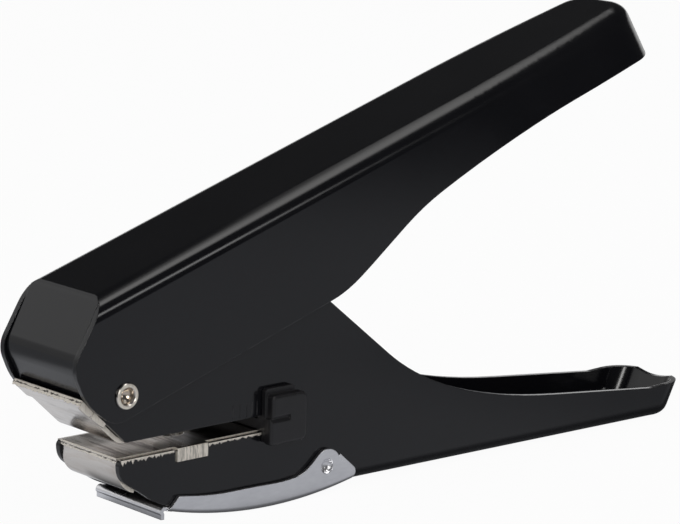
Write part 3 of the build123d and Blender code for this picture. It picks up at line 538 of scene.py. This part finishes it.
def loftPiece(name, runs, finish):
    # closed skins, each through a run of rings of points, with both ends filled
    mesh = bmesh.new()
    for run in runs:
        made = [[mesh.verts.new(point) for point in ring] for ring in run]
        for near, far in zip(made, made[1:]):
            for i in range(len(near)):
                j = (i + 1) % len(near)
                mesh.faces.new((near[i], near[j], far[j], far[i]))
        mesh.faces.new(made[0])
        mesh.faces.new(made[-1][::-1])
    bmesh.ops.recalc_face_normals(mesh, faces=mesh.faces)
    data = finishMesh(name, mesh)
    piece = placeObject(name, data)
    data.materials.append(finishes[finish])
    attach(piece, "frame")
    return piece


# depth marks pressed into the near wall, in front of the paper guide
marks = {
    "along": (30.0, 31.9, 33.8, 35.2, 36.6), "low": -10.2, "high": -7.1, "width": 0.28,
    "wall": -10.65, "sunk": 0.02, "proud": 0.06, "crest": 0.45,
}


def addDepthMarks():
    half = marks["width"] / 2
    runs = []
    for along in marks["along"]:
        rings = []
        for level, reach in ((marks["sunk"], 1.0), (-marks["proud"], marks["crest"])):
            inset = half * (1 - reach)
            low, high = marks["low"] + inset, marks["high"] - inset
            rings.append([
                throatPoint(along + side * half * reach, marks["wall"] + level, up)
                for side, up in ((-1, low), (1, low), (1, high), (-1, high))])
        runs.append(rings)
    loftPiece("depthMarks", runs, "blackEnamel")


# the die plate's torn edge lies over the top of each wall: across and up
dieEdge = {
    "runs": ((0.5, 14.6), (23.5, 47.9)), "pitch": 0.42, "jitter": 0.13, "seed": 11,
    "short": 0.42, "long": (1.25, 0.75), "hang": (0.4, 1), "stubs": 0.2, "stub": 0.3,
    "section": ((9.38, -13.86), (9.5, -14.08), (10.66, -14.11), (10.73, -14.17)),
    "tip": (10.71, -14.24), "under": ((10.6, -14.26), (9.42, -14.26)),
}


def addDieBurrs():
    chance = random.Random(dieEdge["seed"])
    first, last = dieEdge["runs"][0]
    longFirst, longLast = dieEdge["long"]
    tipAcross, tipUp = dieEdge["tip"]
    runs = []
    for side in (-1, 1):
        for start, end in dieEdge["runs"]:
            rings = []
            along, tooth = start, False
            while along < end:
                share = min(1, (along - first) / (last - first))
                longest = longFirst + (longLast - longFirst) * share
                drop = chance.uniform(*dieEdge["hang"]) * longest if tooth else dieEdge["short"]
                if chance.random() < dieEdge["stubs"]:
                    drop *= dieEdge["stub"]
                points = [*dieEdge["section"], (tipAcross, tipUp - drop), *dieEdge["under"]]
                rings.append([throatPoint(along, side * across, up) for across, up in points])
                along += dieEdge["pitch"] + chance.uniform(-1, 1) * dieEdge["jitter"]
                tooth = not tooth
            runs.append(rings)
    loftPiece("dieBurrs", runs, "nickelPlate")


# ragged front edges: where the end face starts, the way ahead out of it, and sizes out, through and down
lipEdges = {
    "flareBurrs": {
        "corner": (-10.69, -0.42), "way": (-0.731, 0.682), "half": 11.3, "pitch": 0.35, "jitter": 0.12,
        "top": 0.97, "proud": (0.04, 0.12), "hang": (0.15, 0.6), "seed": 5, "finish": "flareNickel"},
    "lipBurrs": {
        "corner": (0.35, -14.85), "way": (-1, 0), "half": 9.4, "pitch": 0.4, "jitter": 0.14,
        "top": 0.98, "proud": (0.04, 0.13), "hang": (0.05, 0.3), "seed": 8, "finish": "dieNickel"},
}


def edgePoint(edge, across, out, through):
    # out runs on from the sheet's end, through runs from its underside to its top
    ahead, lift = edge["way"]
    along, up = edge["corner"]
    return throatPoint(along + ahead * out + lift * through, across, up + lift * out - ahead * through)


def addLipBurrs(name, edge):
    chance = random.Random(edge["seed"])
    rings = []
    across = -edge["half"]
    while across < edge["half"]:
        hang = chance.uniform(*edge["hang"])
        proud = chance.uniform(*edge["proud"])
        # the smooth upper half of the cut, a step under it, and the torn half that hangs below the sheet
        section = (
            (-0.05, edge["top"]), (proud, edge["top"] - 0.06), (proud, 0.55), (0.02, 0.4), (proud, 0.3),
            (proud * 0.6, -hang), (-0.1, -hang * 0.8), (-0.25, 0.02))
        rings.append([edgePoint(edge, across, out, through) for out, through in section])
        across += edge["pitch"] + chance.uniform(-1, 1) * edge["jitter"]
    loftPiece(name, [rings], edge["finish"])


# the flare's cut near side, rolled over and wider than the sheet: out, lower and upper edge
flareSides = {
    "side": 11.31, "thick": 0.16, "sunk": 0.02, "roundLow": 0.12, "roundHigh": 0.1,
    "runs": (
        ((-0.15, 0.3, 1.0), (-0.35, -0.75, 1.02), (-2.0, -0.8, 1.05), (-3.6, -0.7, 1.02), (-3.9, -0.1, 1.0)),
        ((-4.2, 0.1, 1.0), (-4.5, -0.6, 1.0), (-6.5, -0.5, 0.98), (-8.3, -0.2, 0.97)),
    ),
}


def addFlareSides():
    edge = lipEdges["flareBurrs"]
    inner = flareSides["sunk"] - flareSides["side"]
    outer = -flareSides["side"] - flareSides["thick"]
    runs = []
    for run in flareSides["runs"]:
        rings = []
        for out, low, high in run:
            section = (
                (inner, low), (outer, low + flareSides["roundLow"]),
                (outer, high - flareSides["roundHigh"]), (inner, high))
            rings.append([edgePoint(edge, across, out, through) for across, through in section])
        runs.append(rings)
    loftPiece("flareSides", runs, "nickelPlate")


# the rivet's shank, seen at the bottom of its hollow head
rivetShank = {
    "radius": 1.655, "face": 13.55, "depth": 1.35, "dish": 1.0, "thick": 1, "dished": 0.96, "turns": 40, "steps": 6,
}


def addRivetShank():
    angles = [radians(turn * 360 / rivetShank["turns"]) for turn in range(rivetShank["turns"])]
    bottom = rivetShank["face"] - rivetShank["depth"]
    # the back, then the dished front from its rim in to its middle
    levels = [(1, bottom - rivetShank["thick"])]
    for step in range(rivetShank["steps"] + 1):
        share = 1 - step / rivetShank["steps"] * rivetShank["dished"]
        levels.append((share, bottom - rivetShank["dish"] * (1 - share ** 2)))
    runs = []
    for side in (-1, 1):
        rings = []
        for share, level in levels:
            reach = rivetShank["radius"] * share
            rings.append([throatPoint(reach * cos(angle), side * level, reach * sin(angle)) for angle in angles])
        runs.append(rings)
    piece = loftPiece("rivetShank", runs, "shankNickel")
    for face in piece.data.polygons:
        face.use_smooth = True


addDepthMarks()
print("depth marks made")
addDieBurrs()
for name, edge in lipEdges.items():
    addLipBurrs(name, edge)
addFlareSides()
addRivetShank()
print("torn edges and the rivet's shank made")


# The return spring is copied onto the frame as a mesh of its own, and the imported spring is hidden.


def addReturnCoil():
    piece = placeObject("returnCoil", nodes["return_spring"].data.copy())
    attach(piece, "frame")
    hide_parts("return_spring")
    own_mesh(piece)


addReturnCoil()
print("return spring made")


# Studio, in metres

# The floor is white to the camera.
floorLook = {"size": 4.0, "squares": 8, "drop": 0.0001, "colour": (0.86, 0.86, 0.87, 1), "lift": 0.955}
# What the metal sees of the floor: dimmer in front and far behind, with a painted shadow right under the object
# but not ahead of it, dimmer by the tail, and fading with distance to what the far parts keep. Each part holds a
# span of x, y or distance, then the levels at both of its ends, which are 0 and 1 where none are given.
floorSeen = {
    "tint": (0.93, 0.95, 1.0, 1), "frontToBack": (-0.02, 0.06, 0.44, 0.74), "behind": (0.045, 0.085, 1.0, 0.5),
    "under": (0.011, 0.018, 0.2, 1.0), "ahead": (-0.07, -0.085, 0.0, 1.0),
    "tailAlong": (0.03, 0.1), "tailFront": (-0.14, -0.08), "byTail": 0.66, "fade": (0.27, 0.48, 1.0, 0.0),
    "far": 0.035, "farBehind": (0.0, 0.2, 0.035, 0.4), "farSide": (-0.05, 0.1, 1.0, 0.1),
}
# What the metal sees of the room: a white sweep low down behind the object and higher on the left, and a dark
# room above and in front. The parts are as above, with spans of the direction's x, y or z.
roomSeen = {
    "dark": 0.045, "behind": (-0.1, 0.15), "lowHeight": (0.3, 0.14), "lowSide": (-0.3, 0.3, 0.42, 1.0),
    "leftHeight": (0.85, 0.65), "leftSide": (0.3, -0.45), "leftDip": (0.2, 0.38, 0.55, 1.0), "leftLevel": 0.8,
}
roomFill = 0.3
# A long softbox overhead, turned and brighter at its front end, a low card in front that fades to the rear,
# and a narrow one beside the camera. Each fade holds where it starts and ends, then the strength at both.
lamps = {
    "softTop": {
        "spot": (0.309, 0.01, 0.93), "aim": (0.309, 0.01, 0), "size": (0.42, 1.47), "turn": -20,
        "power": 5.9, "tint": (1, 0.99, 0.975),
        "wide": ((0.0, 0.38, 0, 1), (1.0, 0.62, 0, 1)), "long": ((1.0, 0.87, 0, 1), (0.83, 0.0, 1, 0.12))},
    "softFront": {
        "spot": (0.46, -0.8, 0.28), "aim": (0.46, 0, 0.28), "size": (0.44, 0.2), "turn": 0,
        "power": 1.15, "tint": (1, 1, 1),
        "wide": ((0.0, 0.1, 0, 1), (0.62, 0.33, 0, 1)), "long": ((0.0, 0.3, 0, 1), (1.0, 0.7, 0, 1))},
    "softLeft": {
        "spot": (-0.6, -0.6, 0.38), "aim": (-0.06, 0, 0.04), "size": (0.2, 0.5), "turn": 0,
        "power": 3.2, "tint": (1, 0.99, 0.97),
        "wide": ((0.0, 0.3, 0, 1), (1.0, 0.7, 0, 1)), "long": ((0.0, 0.2, 0, 1), (1.0, 0.8, 0, 1))},
}


def seenFloor(tree):
    # the brightness of the floor to glossy and clear surfaces
    source = newNode(tree, "ShaderNodeTexCoord")
    distance = vectorCalc(tree, "LENGTH", source.outputs["Object"], gives="Value")
    where = split(tree, source.outputs["Object"])
    # a painted shadow of the object on the floor, as glossy surfaces see it, and none ahead of it
    contactShadow = span(tree, calc(tree, "ABSOLUTE", where["Y"]), *floorSeen["under"], smooth=True)
    contactShadow = calc(tree, "MAXIMUM", contactShadow, span(tree, where["X"], *floorSeen["ahead"]))
    tail = product(
        tree, span(tree, where["X"], *floorSeen["tailAlong"], smooth=True),
        span(tree, where["Y"], *floorSeen["tailFront"], smooth=True))
    near = product(
        tree, span(tree, where["Y"], *floorSeen["frontToBack"], smooth=True),
        span(tree, where["Y"], *floorSeen["behind"], smooth=True), contactShadow,
        span(tree, tail, 0, 1, 1, floorSeen["byTail"]), span(tree, distance, *floorSeen["fade"], smooth=True))
    far = product(
        tree, span(tree, where["Y"], *floorSeen["farBehind"], smooth=True),
        span(tree, where["X"], *floorSeen["farSide"], smooth=True))
    return calc(tree, "MAXIMUM", near, calc(tree, "MAXIMUM", far, floorSeen["far"]))


def addFloor():
    mesh = bmesh.new()
    squares = floorLook["squares"]
    bmesh.ops.create_grid(mesh, x_segments=squares, y_segments=squares, size=floorLook["size"] / 2)
    data = finishMesh("studioFloor", mesh)
    floor = placeObject("studioFloor", data)
    floor.location.z = -floorLook["drop"]
    material = bpy.data.materials.new("studioFloor")
    tree = bareTree(material)
    output = newNode(tree, "ShaderNodeOutputMaterial")
    ray = newNode(tree, "ShaderNodeLightPath")
    matt = newNode(tree, "ShaderNodeBsdfDiffuse")
    matt.inputs["Color"].default_value = floorLook["colour"]
    glow = newNode(tree, "ShaderNodeEmission")
    lift = product(tree, ray.outputs["Is Camera Ray"], floorLook["lift"])
    surface = blendShaders(tree, lift, matt.outputs[0], glow.outputs[0])
    mirror = newNode(tree, "ShaderNodeEmission")
    mirror.inputs["Color"].default_value = floorSeen["tint"]
    feed(tree, mirror.inputs["Strength"], seenFloor(tree))
    shine = calc(tree, "MAXIMUM", ray.outputs["Is Glossy Ray"], ray.outputs["Is Transmission Ray"])
    surface = blendShaders(tree, shine, surface, mirror.outputs[0])
    # a camera below the floor looks through it
    side = newNode(tree, "ShaderNodeNewGeometry")
    clear = newNode(tree, "ShaderNodeBsdfTransparent")
    through = product(tree, side.outputs["Backfacing"], ray.outputs["Is Camera Ray"])
    surface = blendShaders(tree, through, surface, clear.outputs[0])
    feed(tree, output.inputs["Surface"], surface)
    data.materials.append(material)


def addRoom():
    room = bpy.data.worlds.new("studioRoom")
    bpy.context.scene.world = room
    tree = bareTree(room)
    output = newNode(tree, "ShaderNodeOutputWorld")
    back = newNode(tree, "ShaderNodeBackground")
    feed(tree, output.inputs["Surface"], back.outputs[0])
    source = newNode(tree, "ShaderNodeTexCoord")
    way = split(tree, source.outputs["Generated"])
    ray = newNode(tree, "ShaderNodeLightPath")
    shine = calc(tree, "MAXIMUM", ray.outputs["Is Glossy Ray"], ray.outputs["Is Transmission Ray"])
    behind = span(tree, way["Y"], *roomSeen["behind"], smooth=True)
    low = product(
        tree, span(tree, way["Z"], *roomSeen["lowHeight"], smooth=True),
        span(tree, way["X"], *roomSeen["lowSide"], smooth=True))
    left = product(
        tree, span(tree, way["Z"], *roomSeen["leftHeight"], smooth=True),
        span(tree, way["X"], *roomSeen["leftSide"], smooth=True),
        span(tree, way["Z"], *roomSeen["leftDip"], smooth=True), roomSeen["leftLevel"])
    sweep = product(tree, behind, calc(tree, "MAXIMUM", low, left))
    sweep = calc(tree, "MAXIMUM", sweep, roomSeen["dark"])
    # white to the camera, the sweep to what shines, and an even fill to the rest
    level = blend(tree, shine, roomFill, sweep, kind="FLOAT")
    level = blend(tree, ray.outputs["Is Camera Ray"], level, 1.0, kind="FLOAT")
    feed(tree, back.inputs["Strength"], level)
    back.inputs["Color"].default_value = (1, 1, 1, 1)


def fadeLamp(light, lamp):
    # the lamp's own coordinates run from 0 to 1 across its width and length
    tree = bareTree(light)
    output = newNode(tree, "ShaderNodeOutputLight")
    glow = newNode(tree, "ShaderNodeEmission")
    source = newNode(tree, "ShaderNodeNewGeometry")
    where = split(tree, source.outputs["Parametric"])
    parts = []
    for axis, key in (("X", "wide"), ("Y", "long")):
        for start, end, dim, full in lamp[key]:
            # a fade from nothing is soft at both ends
            parts.append(span(tree, where[axis], start, end, dim, full, smooth=dim == 0))
    feed(tree, glow.inputs["Strength"], product(tree, *parts))
    feed(tree, output.inputs["Surface"], glow.outputs[0])


def addLamps():
    for name, lamp in lamps.items():
        light = bpy.data.lights.new(name, "AREA")
        light.shape = "RECTANGLE"
        light.size, light.size_y = lamp["size"]
        light.energy = lamp["power"]
        light.color = lamp["tint"]
        fadeLamp(light, lamp)
        holder = placeObject(name, light)
        way = Vector(lamp["spot"]) - Vector(lamp["aim"])
        holder.location = lamp["spot"]
        holder.rotation_euler = way.to_track_quat("Z", "Y").to_euler()
        holder.rotation_euler.rotate_axis("Z", radians(lamp["turn"]))


addFloor()
addRoom()
addLamps()
bpy.context.scene.view_settings.view_transform = "Standard"
print("studio ready")
